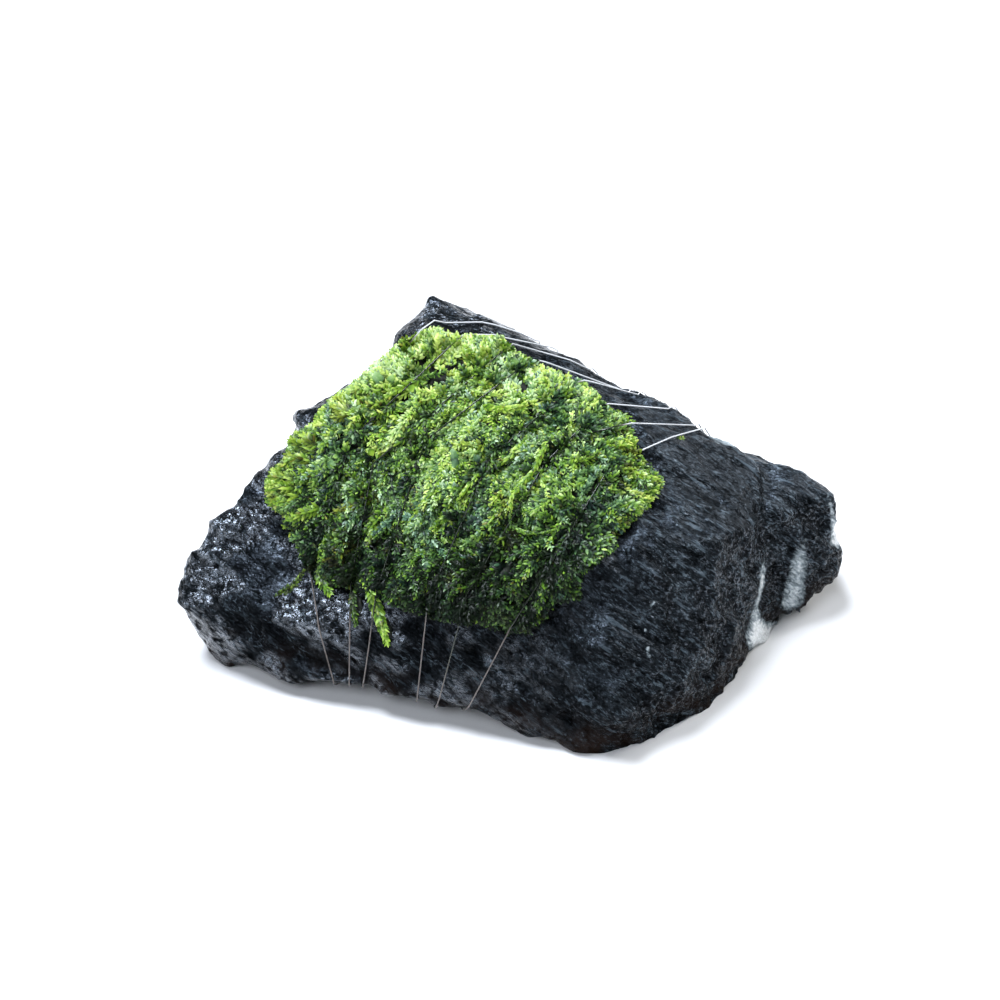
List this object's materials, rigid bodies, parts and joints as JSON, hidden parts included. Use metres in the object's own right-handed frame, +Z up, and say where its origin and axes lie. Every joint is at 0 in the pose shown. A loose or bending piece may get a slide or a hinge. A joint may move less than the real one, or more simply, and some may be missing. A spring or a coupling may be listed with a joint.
{
  "type": "willow moss on stone",
  "caption": "Palm-sized black stone with white veins, a mat of willow moss on its sloping front, and a clear nylon line wound round both to hold the moss down.",
  "frame": {"origin": "bottom centre of the bounding box of the whole, on the surface the stone stands on", "axes": "+X along the stone towards its veined end, +Y from the mossy front towards the back, +Z up"},
  "size_m": [0.105, 0.0636, 0.0437],
  "materials": {
    "stone": "wet, dark and fine-grained, with white calcite veins at the right end",
    "moss": "wet leafy moss, yellow-green at the tips and dark green below",
    "nylon": "clear glossy line"
  },
  "bodies": {
    "root": {"stone": "stone", "willow_moss_mat": "moss", "moss_scrap_left": "moss", "moss_scrap_right": "moss", "nylon_line": "nylon"}
  },
  "joints": []
}
